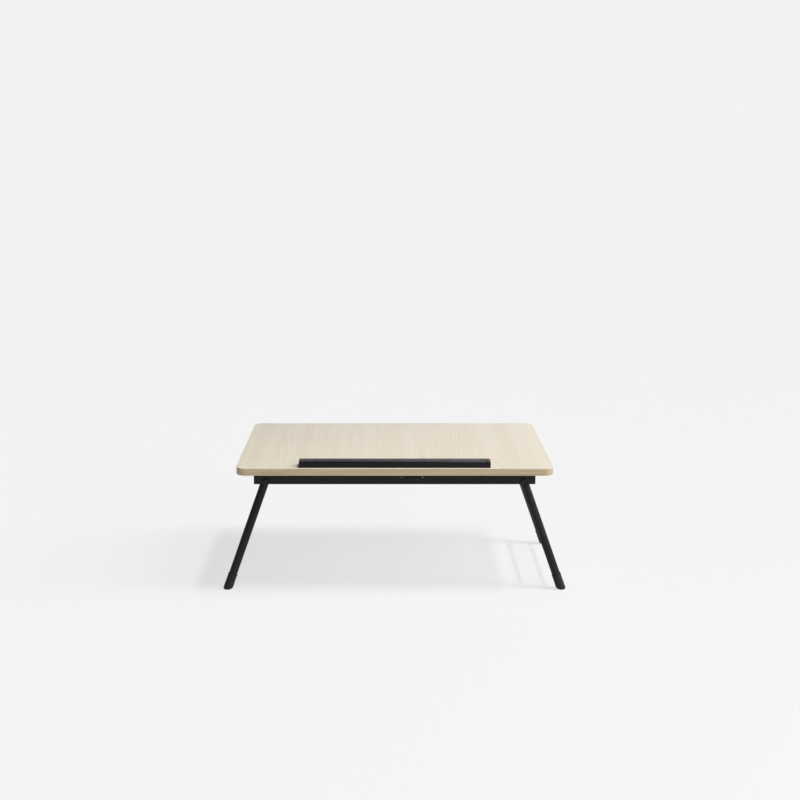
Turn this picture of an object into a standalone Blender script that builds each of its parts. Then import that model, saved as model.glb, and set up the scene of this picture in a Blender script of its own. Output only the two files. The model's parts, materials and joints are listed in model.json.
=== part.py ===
"""Folding tray table: a laminated top with a front ledge, hinged on a steel frame whose two
leg frames fold flat beneath it, and a wire prop that holds the top at a slope.

Metres. +Z up, the width along X, the front towards -Y, the origin on the floor under the
middle of the top. Every sub-part is one named object, and the pieces that move hang on an
empty that stands on their joint's axis.
"""

import math

import bmesh
import bpy
from mathutils import Matrix, Vector

# Driving dimensions
TOP_WIDTH = 0.600
TOP_DEPTH = 0.400
TOP_HEIGHT = 0.256
TOP_CORNER = 0.018
UNDERSIDE = 0.242
LAMINATE = 0.001
BAND = 0.001
GAP = 0.0003

LEDGE_LENGTH = 0.362
LEDGE_DEPTH = 0.028
LEDGE_HEIGHT = 0.012
LEDGE_INSET = 0.005
LEDGE_CAP = 0.009
LEDGE_WALL = 0.002
LEDGE_SCREW_X = 0.130

RAIL_LENGTH = 0.540
RAIL_FACE = 0.158
RAIL_BOTTOM = 0.2145
RAIL_FLANGE = 0.016
SHEET = 0.0015
SLOT_X = 0.033
SLOT_LENGTH = 0.048
SLOT_LOW = 0.2272
SLOT_HIGH = 0.2294
CLIP_WIDTH = 0.040
TONGUE_WIDTH = 0.028

LEAN = math.radians(19.6)
PIVOT_X = 0.248
PIVOT_Z = 0.2205
TUBE_RADIUS = 0.008
TUBE_WALL = 0.0012
WASHER = 0.0012
LEG_ABOVE_PIVOT = 0.016
CROSSBAR_RADIUS = 0.005
CROSSBAR_HEIGHTS = {"lower": 0.043, "upper": 0.107}
CAP_LENGTH = 0.033
CAP_RADIUS = 0.0092
SOLE = 0.009
BOLT_RADIUS = 0.003
BOLT_HOLE = 0.0033
NUT_HEIGHT = 0.005

CROSS_TUBE_X = 0.2287
CROSS_TUBE_WIDTH = 0.012
CROSS_TUBE_HEIGHT = 0.010
CROSS_TUBE_WALL = 0.0012

HINGE_X = 0.189
HINGE_LENGTH = 0.050
HINGE_KNUCKLE = 0.0168
HINGE_Y = -0.1606
HINGE_Z = 0.2394
KNUCKLE_RADIUS = 0.0021
PIN_RADIUS = 0.001
LEAF = 0.0012

PROP_HALF_WIDTH = 0.205
PROP_PIVOT = 0.135
PROP_ARM = 0.134
PROP_Z = 0.235
WIRE_RADIUS = 0.0025
PROP_BEND = 0.008

RACK_X = 0.110
RACK_WIDTH = 0.020
RACK_THICKNESS = 0.0037
RACK_TILTS = (30, 24, 18, 12, 0)
RACK_START = 0.212
RACK_END = 0.286
RACK_SCREW_INSET = 0.006
NOTCH_RADIUS = 0.0025
NOTCH_GROWTH = 0.00015

# Sizes worked out from them
BOARD_TOP = TOP_HEIGHT - LAMINATE - GAP
RAIL_TOP = UNDERSIDE - GAP
WEB_INNER = RAIL_FACE - SHEET
LEG_Y = WEB_INNER - WASHER - 0.0004 - TUBE_RADIUS
LEG_REACH = PIVOT_Z / math.cos(LEAN)
CROSS_TUBE_TOP = RAIL_TOP - SHEET - GAP
PROP_Y = HINGE_Y + PROP_PIVOT

# Turns an outline drawn as (y, z) so that it is extruded along X.
ACROSS_X = Matrix(((0, 0, 1), (1, 0, 0), (0, 1, 0))).to_4x4()


def clear_scene():
    for thing in list(bpy.data.objects):
        bpy.data.objects.remove(thing, do_unlink=True)


def new_collection(name):
    made = bpy.data.collections.new(name)
    bpy.context.scene.collection.children.link(made)
    return made


def new_material(name, colour, roughness, metallic=0.0):
    made = bpy.data.materials.new(name)
    made.use_nodes = True
    shader = made.node_tree.nodes["Principled BSDF"]
    shader.inputs["Base Color"].default_value = (*colour, 1)
    shader.inputs["Roughness"].default_value = roughness
    shader.inputs["Metallic"].default_value = metallic
    return made


clear_scene()
PARTS = new_collection("folding_tray_table")
CUTTERS = new_collection("cutters")
WOOD = new_material("oak_laminate", (0.72, 0.64, 0.53), 0.45)
BOARD = new_material("board_core", (0.42, 0.31, 0.20), 0.8)
EDGE = new_material("edge_band", (0.48, 0.39, 0.28), 0.5)
PAINT = new_material("black_paint", (0.02, 0.02, 0.022), 0.4)
PLASTIC = new_material("black_plastic", (0.025, 0.025, 0.027), 0.5)
RUBBER = new_material("black_rubber", (0.03, 0.03, 0.03), 0.75)
STEEL = new_material("zinc_steel", (0.55, 0.55, 0.56), 0.35, 1.0)
DARK_STEEL = new_material("black_zinc", (0.03, 0.03, 0.032), 0.45, 1.0)
NYLON = new_material("white_nylon", (0.70, 0.70, 0.68), 0.55)


def finish(name, mesh, material, parent=None):
    """An object holding the mesh, smooth where it is round, that moves with the parent."""
    mesh.name = name
    if not mesh.materials:
        mesh.materials.append(material)
    mesh.shade_smooth()
    mesh.set_sharp_from_angle(angle=math.radians(32))
    made = bpy.data.objects.new(name, mesh)
    PARTS.objects.link(made)
    if parent:
        made.parent = parent
        made.matrix_parent_inverse = parent.matrix_world.inverted()
    return made


def joint_empty(name, place):
    made = bpy.data.objects.new(name, None)
    made.location = place
    made.empty_display_size = 0.02
    PARTS.objects.link(made)
    bpy.context.view_layer.update()
    return made


def mesh_of(bm):
    mesh = bpy.data.meshes.new("mesh")
    bm.to_mesh(mesh)
    bm.free()
    return mesh


def box(low, high, bevel=0.0):
    low, high = Vector(low), Vector(high)
    bm = bmesh.new()
    bmesh.ops.create_cube(bm, size=1.0)
    bmesh.ops.scale(bm, vec=high - low, verts=bm.verts)
    bmesh.ops.translate(bm, vec=(low + high) / 2, verts=bm.verts)
    if bevel:
        bmesh.ops.bevel(bm, geom=bm.edges, offset=bevel, segments=2, affect="EDGES", profile=0.5)
    return mesh_of(bm)


def along(start, direction):
    """The place and turn that put local +Z on the direction and the origin at the start."""
    turn = Vector(direction).to_track_quat("Z", "Y").to_matrix().to_4x4()
    return Matrix.Translation(start) @ turn


def cylinder(start, end, radius, segments=24):
    start, end = Vector(start), Vector(end)
    length = (end - start).length
    bm = bmesh.new()
    bmesh.ops.create_cone(
        bm, cap_ends=True, segments=segments, radius1=radius, radius2=radius, depth=length
    )
    bm.transform(along((start + end) / 2, end - start))
    return mesh_of(bm)


def evaluated_mesh(source):
    """The mesh that a curve or a modified object comes to, welded, and the object removed."""
    bpy.context.scene.collection.objects.link(source)
    graph = bpy.context.evaluated_depsgraph_get()
    mesh = bpy.data.meshes.new_from_object(source.evaluated_get(graph))
    mesh.transform(source.matrix_world)
    bpy.data.objects.remove(source, do_unlink=True)
    bm = bmesh.new()
    bm.from_mesh(mesh)
    bmesh.ops.remove_doubles(bm, verts=bm.verts, dist=1e-6)
    bmesh.ops.recalc_face_normals(bm, faces=bm.faces)
    bm.to_mesh(mesh)
    bm.free()
    return mesh


def turned(profile, start, direction, segments=24, closed=False):
    """A turned solid. The profile's (radius, height) points run down its outer side."""
    mesh = bpy.data.meshes.new("profile")
    count = len(profile)
    edges = [(i, (i + 1) % count) for i in range(count if closed else count - 1)]
    mesh.from_pydata([(radius, 0, height) for radius, height in profile], edges, [])
    source = bpy.data.objects.new("profile", mesh)
    screw = source.modifiers.new("turn", "SCREW")
    screw.steps = screw.render_steps = segments
    screw.use_merge_vertices = True
    screw.merge_threshold = 1e-5
    source.matrix_world = along(start, direction)
    return evaluated_mesh(source)


def ring(start, direction, length, outer, inner, segments=24):
    profile = [(outer, length), (outer, 0), (inner, 0), (inner, length)]
    return turned(profile, start, direction, segments, closed=True)


def prism(outlines, length, placement):
    """Flat outlines, the later ones holes in the first, extruded equally to both sides."""
    curve = bpy.data.curves.new("outline", "CURVE")
    curve.dimensions = "2D"
    curve.fill_mode = "BOTH"
    curve.extrude = length / 2
    for outline in outlines:
        spline = curve.splines.new("POLY")
        spline.points.add(len(outline) - 1)
        for point, (x, y) in zip(spline.points, outline):
            point.co = (x, y, 0, 1)
        spline.use_cyclic_u = True
    source = bpy.data.objects.new("outline", curve)
    source.matrix_world = placement
    mesh = evaluated_mesh(source)
    bm = bmesh.new()
    bm.from_mesh(mesh)
    # One flat face at each end, in place of the fill's thin triangles.
    bmesh.ops.dissolve_limit(bm, angle_limit=math.radians(0.5), verts=bm.verts, edges=bm.edges)
    bm.to_mesh(mesh)
    bm.free()
    return mesh


def across(outline, start, end):
    """An outline of (y, z) points extruded along X from start to end."""
    place = Matrix.Translation(((start + end) / 2, 0, 0)) @ ACROSS_X
    return prism([outline], end - start, place)


def plate(outlines, low, high):
    return prism(outlines, high - low, Matrix.Translation((0, 0, (low + high) / 2)))


def arc(centre, radius, first, last, steps):
    """Points of an arc, its angles in degrees."""
    turns = (math.radians(first + (last - first) * i / steps) for i in range(steps + 1))
    return [(centre[0] + radius * math.cos(t), centre[1] + radius * math.sin(t)) for t in turns]


def rounded_rectangle(width, depth, radius, steps=8):
    x, y = width / 2 - radius, depth / 2 - radius
    corners = (((x, y), 0), ((-x, y), 90), ((-x, -y), 180), ((x, -y), 270))
    return [point for centre, turn in corners for point in arc(centre, radius, turn, turn + 90, steps)]


def filleted(path, radius, steps=4):
    """The path with each inner corner replaced by points of a round bend."""
    path = [Vector(point) for point in path]
    points = [path[0]]
    for before, corner, after in zip(path, path[1:], path[2:]):
        first, second = (before - corner).normalized(), (after - corner).normalized()
        half = first.angle(second) / 2
        reach = radius / math.tan(half)
        centre = corner + (first + second).normalized() * radius / math.sin(half)
        start, end = corner + first * reach - centre, corner + second * reach - centre
        sweep = start.angle(end)
        for i in range(steps + 1):
            part = sweep * i / steps
            turned_to = start * math.sin(sweep - part) + end * math.sin(part)
            points.append(centre + turned_to / math.sin(sweep))
    return points + [path[-1]]


def strip(path, thickness, bend, steps=3):
    """The outline of a strip of sheet, bent along the path of (y, z) points."""
    path = filleted(path, bend, steps)
    sides = ([], [])
    for i, point in enumerate(path):
        ahead = (path[min(i + 1, len(path) - 1)] - point).normalized()
        behind = (point - path[max(i - 1, 0)]).normalized()
        normals = [Vector((-d.y, d.x)) for d in (ahead, behind) if d.length > 0]
        normal = sum(normals, Vector((0, 0))).normalized()
        offset = normal * thickness / 2 / normal.dot(normals[0])
        sides[0].append(point + offset)
        sides[1].append(point - offset)
    return [tuple(point) for point in sides[0] + sides[1][::-1]]


def boolean(target, tool_mesh, operation="DIFFERENCE"):
    """Cuts the tool's mesh from the target, or joins it, as a live modifier."""
    tool = bpy.data.objects.new(f"{target.name}_{operation.lower()}", tool_mesh)
    CUTTERS.objects.link(tool)
    tool.hide_render = True
    tool.display_type = "WIRE"
    modifier = target.modifiers.new(operation.lower(), "BOOLEAN")
    modifier.operation = operation
    modifier.solver = "EXACT"
    modifier.object = tool


def screw_profile(head, shank, height, length, spare=0.0):
    """A low round head on a shank, with room to spare when it is used as a cutter."""
    return [
        (0, height + spare),
        (head * 0.6 + spare, height + spare),
        (head + spare, height * 0.45 + spare),
        (head + spare, -spare),
        (shank + spare, -spare),
        (shank + spare, -length - spare),
        (0, -length - spare),
    ]


SIDES = {"left": -1, "right": 1}
ENDS = {"front": -1, "rear": 1}


def rail(end):
    """An angle of bent sheet: an upright web with a flange turned in beneath the top."""
    sign = ENDS[end]
    web = sign * (RAIL_FACE - SHEET / 2)
    top = RAIL_TOP - SHEET / 2
    path = [(web, RAIL_BOTTOM), (web, top), (sign * (RAIL_FACE - RAIL_FLANGE), top)]
    half = RAIL_LENGTH / 2
    made = finish(f"{end}_rail", across(strip(path, SHEET, 0.0015), -half, half), PAINT)
    for side in SIDES.values():
        outer, inner = sign * (RAIL_FACE + 0.002), sign * (WEB_INNER - 0.002)
        place = (side * PIVOT_X, outer, PIVOT_Z), (side * PIVOT_X, inner, PIVOT_Z)
        boolean(made, cylinder(*place, BOLT_HOLE))
    slot_x = -sign * SLOT_X
    low = (slot_x - SLOT_LENGTH / 2, min(outer, inner), SLOT_LOW)
    high = (slot_x + SLOT_LENGTH / 2, max(outer, inner), SLOT_HIGH)
    boolean(made, box(low, high))
    return made


def cross_tube(side):
    """A small box section between the rails. The open legs' top ends bear on its outer face."""
    sign = SIDES[side]
    half = WEB_INNER - GAP
    wide, wall = CROSS_TUBE_WIDTH / 2, CROSS_TUBE_WALL
    centre, top = sign * CROSS_TUBE_X, CROSS_TUBE_TOP
    bottom = top - CROSS_TUBE_HEIGHT
    body = box((centre - wide, -half, bottom), (centre + wide, half, top))
    made = finish(f"{side}_cross_tube", body, PAINT)
    hollow_low = (centre - wide + wall, -half - 0.01, bottom + wall)
    hollow_high = (centre + wide - wall, half + 0.01, top - wall)
    boolean(made, box(hollow_low, hollow_high))
    inner = centre - sign * wide
    ends = (inner - sign * 0.002, PROP_Y, PROP_Z), (inner + sign * 0.003, PROP_Y, PROP_Z)
    boolean(made, cylinder(*ends, WIRE_RADIUS + GAP, 16))


def leg_pivot_hardware(side, end):
    """The round-headed bolt through the rail, the washer behind its web and the lock nut."""
    x, sign = SIDES[side] * PIVOT_X, ENDS[end]
    out, inward = (0, sign, 0), (0, -sign, 0)
    face = sign * (RAIL_FACE + GAP)
    shank = RAIL_FACE - LEG_Y + TUBE_RADIUS + NUT_HEIGHT + 0.0015
    bolt = [(0, 0.0032), (0.0026, 0.0029), (0.0046, 0.002), (0.006, 0.0006), (0.006, 0)]
    bolt += [(BOLT_RADIUS, 0), (BOLT_RADIUS, -shank), (0, -shank)]
    finish(f"{end}_{side}_pivot_bolt", turned(bolt, (x, face, PIVOT_Z), out), DARK_STEEL)
    washer = ring(
        (x, sign * (WEB_INNER - 0.0002), PIVOT_Z), inward, WASHER, TUBE_RADIUS, BOLT_HOLE
    )
    finish(f"{end}_{side}_spacer_washer", washer, PLASTIC)
    start = Vector((x, sign * (LEG_Y - TUBE_RADIUS - GAP), PIVOT_Z))
    nut = cylinder(start, start + Vector(inward) * NUT_HEIGHT, 0.00577, 6)
    made = finish(f"{end}_{side}_lock_nut", nut, STEEL)
    past = Vector(inward) * 0.001
    boolean(made, cylinder(start - past, start + Vector(inward) * NUT_HEIGHT + past, BOLT_HOLE))


def leg_clip(end):
    """A bent spring strip that fills the rail's slot and holds a folded leg. Its tongue is
    narrower, and turns down over the rail's face."""
    sign = ENDS[end]
    front = RAIL_FACE + GAP + 0.0004
    slot = (SLOT_LOW + SLOT_HIGH) / 2
    inside, bend = WEB_INNER - 0.0015, 0.0008
    path = [
        (front, 0.2222),
        (front, slot),
        (inside, slot),
        (inside, 0.2362),
        (0.1356, 0.2362),
        (0.1356, 0.2225),
        (0.1369, 0.2195),
        (0.1340, 0.2125),
    ]
    outline = strip([(sign * y, z) for y, z in path], 0.0008, bend, 2)
    x, half = -sign * SLOT_X, CLIP_WIDTH / 2
    made = finish(f"{end}_leg_clip", across(outline, x - half, x + half), DARK_STEEL)
    face, past = sign * (RAIL_FACE - GAP), sign * (RAIL_FACE + 0.003)
    for side in SIDES.values():
        shoulder, edge = x + side * TONGUE_WIDTH / 2, x + side * (half + 0.001)
        low = (min(shoulder, edge), min(face, past), 0.220)
        high = (max(shoulder, edge), max(face, past), 0.232)
        boolean(made, box(low, high))


def leg_frame(side):
    """Two leaning tubes, their rubber feet and the two bars that join them."""
    sign = SIDES[side]
    pivot = Vector((sign * PIVOT_X, 0, PIVOT_Z))
    down = Vector((sign * math.sin(LEAN), 0, -math.cos(LEAN)))
    empty = joint_empty(f"{side}_leg_axis", pivot)
    for end, depth in ENDS.items():
        axis_point = pivot + Vector((0, depth * LEG_Y, 0))
        leg_tube(side, end, axis_point, down, empty)
        foot_cap(side, end, axis_point + down * LEG_REACH, down, empty)
    for level, height in CROSSBAR_HEIGHTS.items():
        middle = pivot + down * (PIVOT_Z - height) / math.cos(LEAN)
        start, finish_point = middle - Vector((0, LEG_Y, 0)), middle + Vector((0, LEG_Y, 0))
        bar = cylinder(start, finish_point, CROSSBAR_RADIUS, 20)
        made = finish(f"{side}_{level}_crossbar", bar, PAINT, empty)
        for tip in (start, finish_point):
            saddle = cylinder(tip - down * 0.02, tip + down * 0.02, TUBE_RADIUS + GAP, 32)
            boolean(made, saddle)


def leg_tube(side, end, axis_point, down, empty):
    start = axis_point - down * LEG_ABOVE_PIVOT
    length = LEG_ABOVE_PIVOT + LEG_REACH - SOLE
    tube = ring(start, down, length, TUBE_RADIUS, TUBE_RADIUS - TUBE_WALL, 32)
    made = finish(f"{end}_{side}_leg", tube, PAINT, empty)
    through = Vector((0, TUBE_RADIUS + 0.002, 0))
    boolean(made, cylinder(axis_point - through, axis_point + through, BOLT_HOLE))


def foot_cap(side, end, floor_point, down, empty):
    """A rubber cup on the tube's end, lipped at its mouth and cut level with the floor."""
    mouth = CAP_LENGTH
    profile = [(0, SOLE - GAP), (TUBE_RADIUS + 0.00025, SOLE - GAP)]
    profile += [(TUBE_RADIUS + 0.00025, mouth), (CAP_RADIUS, mouth), (CAP_RADIUS, mouth - 0.0022)]
    profile += [(CAP_RADIUS - 0.0004, mouth - 0.003), (CAP_RADIUS - 0.0002, -0.006), (0, -0.006)]
    cup = turned(profile, floor_point, -down, 32)
    made = finish(f"{end}_{side}_foot", cup, RUBBER, empty)
    reach = 0.02
    low = (floor_point.x - reach, floor_point.y - reach, -reach)
    boolean(made, box(low, (floor_point.x + reach, floor_point.y + reach, 0)))


def knuckle_spans(middle):
    """The stretches along X of a hinge's middle knuckle, or of its two outer ones."""
    half, inner = HINGE_LENGTH / 2, HINGE_KNUCKLE / 2
    return [(-inner, inner)] if middle else [(-half, -inner - 0.0004), (inner + 0.0004, half)]


def hinge_leaf(name, x, low, high, middle, parent=None):
    """A leaf with its knuckles, cleared where the other leaf's knuckles turn."""
    half = HINGE_LENGTH / 2
    made = finish(name, box((x - half, *low), (x + half, *high)), PAINT, parent)
    for start, end in knuckle_spans(middle):
        ends = (x + start, HINGE_Y, HINGE_Z), (x + end, HINGE_Y, HINGE_Z)
        boolean(made, cylinder(*ends, KNUCKLE_RADIUS, 20), "UNION")
    for start, end in knuckle_spans(not middle):
        reach = KNUCKLE_RADIUS + 0.0005
        clear_low = (x + start - 0.0004, HINGE_Y - reach, HINGE_Z - reach)
        clear_high = (x + end + 0.0004, HINGE_Y + reach, HINGE_Z + reach)
        boolean(made, box(clear_low, clear_high))
    bore = (x - half - 0.001, HINGE_Y, HINGE_Z), (x + half + 0.001, HINGE_Y, HINGE_Z)
    boolean(made, cylinder(*bore, PIN_RADIUS + 0.0002, 16))
    return made


def hinge(side, rail_object, board, top_empty):
    """A butt hinge: one leaf riveted to the rail's face, the other screwed to the top."""
    x = SIDES[side] * HINGE_X
    face = -RAIL_FACE - GAP
    fixed = hinge_leaf(
        f"{side}_hinge_rail_leaf", x, (face - LEAF, 0.2215), (face, HINGE_Z), middle=True
    )
    leaf_top = UNDERSIDE - GAP
    moving = hinge_leaf(
        f"{side}_hinge_top_leaf",
        x,
        (-0.180, leaf_top - LEAF),
        (HINGE_Y, leaf_top),
        middle=False,
        parent=top_empty,
    )
    half = HINGE_LENGTH / 2 + 0.0005
    pin = cylinder((x - half, HINGE_Y, HINGE_Z), (x + half, HINGE_Y, HINGE_Z), PIN_RADIUS, 16)
    finish(f"{side}_hinge_pin", pin, STEEL)
    for number, offset in enumerate((-0.020, 0.020), 1):
        hinge_rivet(f"{side}_hinge_rivet_{number}", x + offset, face - LEAF, fixed, rail_object)
        place, up = (x + offset * 0.8, -0.1725, leaf_top - LEAF - GAP), (0, 0, -1)
        profile = (0.0026, 0.0014, 0.0014, 0.010)
        body = turned(screw_profile(*profile), place, up, 14)
        finish(f"{side}_hinge_screw_{number}", body, STEEL, top_empty)
        for target in (moving, board):
            hole = cylinder(place, Vector(place) + Vector((0, 0, 0.011)), 0.0017, 14)
            boolean(target, hole)


def hinge_rivet(name, x, face, leaf, rail_object):
    """A rivet through the leaf and the rail's web, its tail spread inside."""
    height = 0.2275
    tail = -WEB_INNER + GAP
    start = face - GAP
    head = [(0, 0.0011), (0.0014, 0.0009), (0.0025, 0.0002), (0.0025, 0), (0.0012, 0)]
    grip = tail - start
    tail_profile = [(0.0012, -grip), (0.0022, -grip), (0.0020, -grip - 0.0007), (0, -grip - 0.0007)]
    finish(name, turned(head + tail_profile, (x, start, height), (0, -1, 0), 14), PAINT)
    for target in (leaf, rail_object):
        boolean(target, cylinder((x, start - 0.001, height), (x, tail + 0.001, height), 0.0015, 14))


def table_top(empty):
    """The board with its laminate and edge band, bored for the ledge's screws."""
    inset = 2 * (BAND + GAP)
    core = rounded_rectangle(TOP_WIDTH - inset, TOP_DEPTH - inset, TOP_CORNER - inset / 2)
    outer = rounded_rectangle(TOP_WIDTH, TOP_DEPTH, TOP_CORNER)
    inner = rounded_rectangle(TOP_WIDTH - 2 * BAND, TOP_DEPTH - 2 * BAND, TOP_CORNER - BAND)
    board = finish("top_board", plate([core], UNDERSIDE, BOARD_TOP), BOARD, empty)
    finish("edge_band", plate([outer, inner], UNDERSIDE, BOARD_TOP), EDGE, empty)
    sheet = plate([outer], TOP_HEIGHT - LAMINATE, TOP_HEIGHT)
    return board, finish("top_laminate", sheet, WOOD, empty)


def ledge_outline():
    """The section of the ledge: upright front and back, the top edges rounded."""
    front = -TOP_DEPTH / 2 + LEDGE_INSET
    back = front + LEDGE_DEPTH
    low, high, round_edge = TOP_HEIGHT + GAP, TOP_HEIGHT + LEDGE_HEIGHT, 0.0022
    points = [(front, low), (back, low)]
    points += arc((back - round_edge, high - round_edge), round_edge, 0, 90, 4)
    points += arc((front + round_edge, high - round_edge), round_edge, 90, 180, 4)
    return points


def ledge(board, laminate, empty):
    """A hollow stopper bar with a cap at each end, screwed down from beneath the board."""
    outline = ledge_outline()
    half = LEDGE_LENGTH / 2 - LEDGE_CAP
    bar = finish("ledge_bar", across(outline, -half, half), PLASTIC, empty)
    front, back = outline[0][0], outline[1][0]
    middle = (front + back) / 2
    low = (-half - 0.001, front + LEDGE_WALL, TOP_HEIGHT - 0.001)
    boolean(bar, box(low, (half + 0.001, back - LEDGE_WALL, TOP_HEIGHT + LEDGE_HEIGHT - LEDGE_WALL)))
    for number, x in enumerate((-LEDGE_SCREW_X, LEDGE_SCREW_X), 1):
        foot, top = (x, middle, TOP_HEIGHT + GAP), (x, middle, TOP_HEIGHT + LEDGE_HEIGHT - 0.001)
        boolean(bar, cylinder(foot, top, 0.0045, 20), "UNION")
        place = Vector((x, middle, UNDERSIDE + 0.0035))
        screw = screw_profile(0.0038, 0.0016, 0.002, 0.0175)
        body = turned(screw, place, (0, 0, -1), 16)
        finish(f"ledge_screw_{number}", body, STEEL, empty)
        hole = cylinder(place, place + Vector((0, 0, 0.0185)), 0.0019, 16)
        for target in (board, laminate, bar):
            boolean(target, hole.copy())
        recess = cylinder((x, middle, UNDERSIDE - 0.001), place + Vector((0, 0, GAP)), 0.0042, 20)
        boolean(board, recess)
    for side, sign in SIDES.items():
        ends = sorted((sign * (half + GAP), sign * LEDGE_LENGTH / 2))
        cap = finish(f"ledge_{side}_cap", across(outline, *ends), PLASTIC, empty)
        rounding = cap.modifiers.new("round", "BEVEL")
        rounding.width = 0.0008
        rounding.segments = 2
        rounding.angle_limit = math.radians(60)


def notch_place(tilt):
    """How far behind the hinge the prop's bar meets the top at a tilt, along the underside."""
    turn = math.radians(tilt)
    drop = HINGE_Z - PROP_Z
    return (PROP_PIVOT + PROP_ARM) * math.cos(turn) - drop * math.sin(turn)


def rack(side, board, empty):
    """A moulded strip under the top, with a half-round notch for each slope."""
    x = SIDES[side] * RACK_X
    crest = UNDERSIDE - GAP - RACK_THICKNESS
    start, end = HINGE_Y + RACK_START, HINGE_Y + RACK_END
    outline = [(start, crest), (start, UNDERSIDE - GAP), (end, UNDERSIDE - GAP), (end, crest)]
    for number, tilt in enumerate(reversed(RACK_TILTS)):
        radius = NOTCH_RADIUS + NOTCH_GROWTH * math.sqrt(number)
        outline += arc((HINGE_Y + notch_place(tilt), crest), radius, 0, 180, 6)
    body = across(outline, x - RACK_WIDTH / 2, x + RACK_WIDTH / 2)
    made = finish(f"{side}_prop_rack", body, NYLON, empty)
    for number, y in enumerate((start + RACK_SCREW_INSET, end - RACK_SCREW_INSET), 1):
        place = Vector((x, y, crest - GAP))
        body = turned(screw_profile(0.0026, 0.0014, 0.0012, 0.011), place, (0, 0, -1), 14)
        finish(f"{side}_rack_screw_{number}", body, STEEL, empty)
        hole = cylinder(place - Vector((0, 0, 0.001)), place + Vector((0, 0, 0.0125)), 0.0017, 14)
        for target in (made, board):
            boolean(target, hole.copy())


def prop():
    """A U of wire. Its ends turn in the cross tubes and its bar bears on the racks."""
    empty = joint_empty("prop_axis", (0, PROP_Y, PROP_Z))
    end_x = CROSS_TUBE_X + 0.0025
    corners = [(-end_x, 0), (-PROP_HALF_WIDTH, 0), (-PROP_HALF_WIDTH, PROP_ARM)]
    corners += [(-x, y) for x, y in reversed(corners)]
    path = filleted([(x, PROP_Y + y, PROP_Z) for x, y in corners], PROP_BEND)
    curve = bpy.data.curves.new("prop_wire", "CURVE")
    curve.dimensions = "3D"
    curve.bevel_depth = WIRE_RADIUS
    curve.bevel_resolution = 3
    curve.use_fill_caps = True
    spline = curve.splines.new("POLY")
    spline.points.add(len(path) - 1)
    for point, place in zip(spline.points, path):
        point.co = (*place, 1)
    mesh = evaluated_mesh(bpy.data.objects.new("prop_wire", curve))
    finish("prop_wire", mesh, STEEL, empty)


def build():
    front_rail = rail("front")
    rail("rear")
    for side in SIDES:
        cross_tube(side)
        leg_frame(side)
        for end in ENDS:
            leg_pivot_hardware(side, end)
    for end in ENDS:
        leg_clip(end)
    top_empty = joint_empty("top_hinge_axis", (0, HINGE_Y, HINGE_Z))
    board, laminate = table_top(top_empty)
    ledge(board, laminate, top_empty)
    for side in SIDES:
        hinge(side, front_rail, board, top_empty)
        rack(side, board, top_empty)
    prop()


build()
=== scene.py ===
"""Looks of the folding tray table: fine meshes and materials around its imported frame.

Metres, +Z up, the ledge towards -Y. Every place comes from the frame: from its nodes' boxes,
its joints and its materials' slots. A piece is a closed mesh that rides on its CAD body.
"""

import json
import math

import bmesh
import bpy
from mathutils import Matrix, Vector

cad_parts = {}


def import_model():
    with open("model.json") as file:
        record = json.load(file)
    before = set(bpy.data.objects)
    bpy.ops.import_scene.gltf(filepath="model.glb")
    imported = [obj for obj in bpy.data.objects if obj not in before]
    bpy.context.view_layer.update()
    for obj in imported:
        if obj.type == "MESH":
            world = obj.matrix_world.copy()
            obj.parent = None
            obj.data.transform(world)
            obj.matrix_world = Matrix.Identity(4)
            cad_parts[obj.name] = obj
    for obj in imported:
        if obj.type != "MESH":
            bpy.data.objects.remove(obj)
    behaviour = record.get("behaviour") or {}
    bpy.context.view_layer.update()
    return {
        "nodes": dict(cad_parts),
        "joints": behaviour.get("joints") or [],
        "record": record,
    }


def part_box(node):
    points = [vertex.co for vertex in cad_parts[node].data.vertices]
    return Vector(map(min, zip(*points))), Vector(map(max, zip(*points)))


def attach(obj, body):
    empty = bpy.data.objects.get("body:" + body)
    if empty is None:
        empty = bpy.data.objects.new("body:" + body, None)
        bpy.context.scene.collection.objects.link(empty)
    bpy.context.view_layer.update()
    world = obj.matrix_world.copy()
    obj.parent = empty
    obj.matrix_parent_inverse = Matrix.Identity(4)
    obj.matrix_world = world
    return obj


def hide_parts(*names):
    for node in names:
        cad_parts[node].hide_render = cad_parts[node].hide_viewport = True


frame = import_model()
RECORD = frame["record"]
SLOT_OF = {row["node"]: row["material_slot"] for row in RECORD["subparts"]}
BODY_OF = {node: body for body, nodes in RECORD["behaviour"]["bodies"].items() for node in nodes}
JOINTS = {joint["name"]: joint for joint in frame["joints"]}

SIDES = {"left": -1, "right": 1}
ENDS = {"front": -1, "rear": 1}

# Sizes that the boxes don't give
GAP = 0.0003
TOP_CORNER = 0.018
LEDGE_ROUND = 0.0024
CAP_END_ROUND = 0.0008
RAIL_SHEET = 0.0015
RAIL_FLANGE = 0.016
RAIL_BEND = 0.0017
CROSS_TUBE_CORNER = 0.0016
# The rail's slot, smaller than the CAD's, so that less of it shows bright past the clip
SLOT_Z = 0.2283
SLOT_LENGTH = 0.042
SLOT_HEIGHT = 0.0016
CLIP_SHEET = 0.0008
CLIP_BEND = 0.0009
CLIP_STEP_IN = 0.0037
CLIP_REACH = 0.0231
CLIP_OUTER_TIP_Z = 0.2222
CLIP_HOOK = ((0.0, 0.2225), (0.0013, 0.2195), (-0.0016, 0.2125))
TONGUE_WIDTH = 0.028
TONGUE_CUT_Z = (0.220, 0.232)
BOLT_SHANK = 0.003
BOLT_SOCKET = 0.0023
WASHER_BORE = 0.0033
NUT_CORNER = 0.00577
NUT_FLAT = 0.005
NUT_BORE = 0.0024
TUBE_RADIUS = 0.008
TUBE_WALL = 0.0012
TUBE_OPEN_DEPTH = 0.030
LEG_ABOVE_PIVOT = 0.016
FOOT_MOUTH = 0.033
FOOT_LIP = 0.0092
FOOT_SOLE = 0.009
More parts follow.
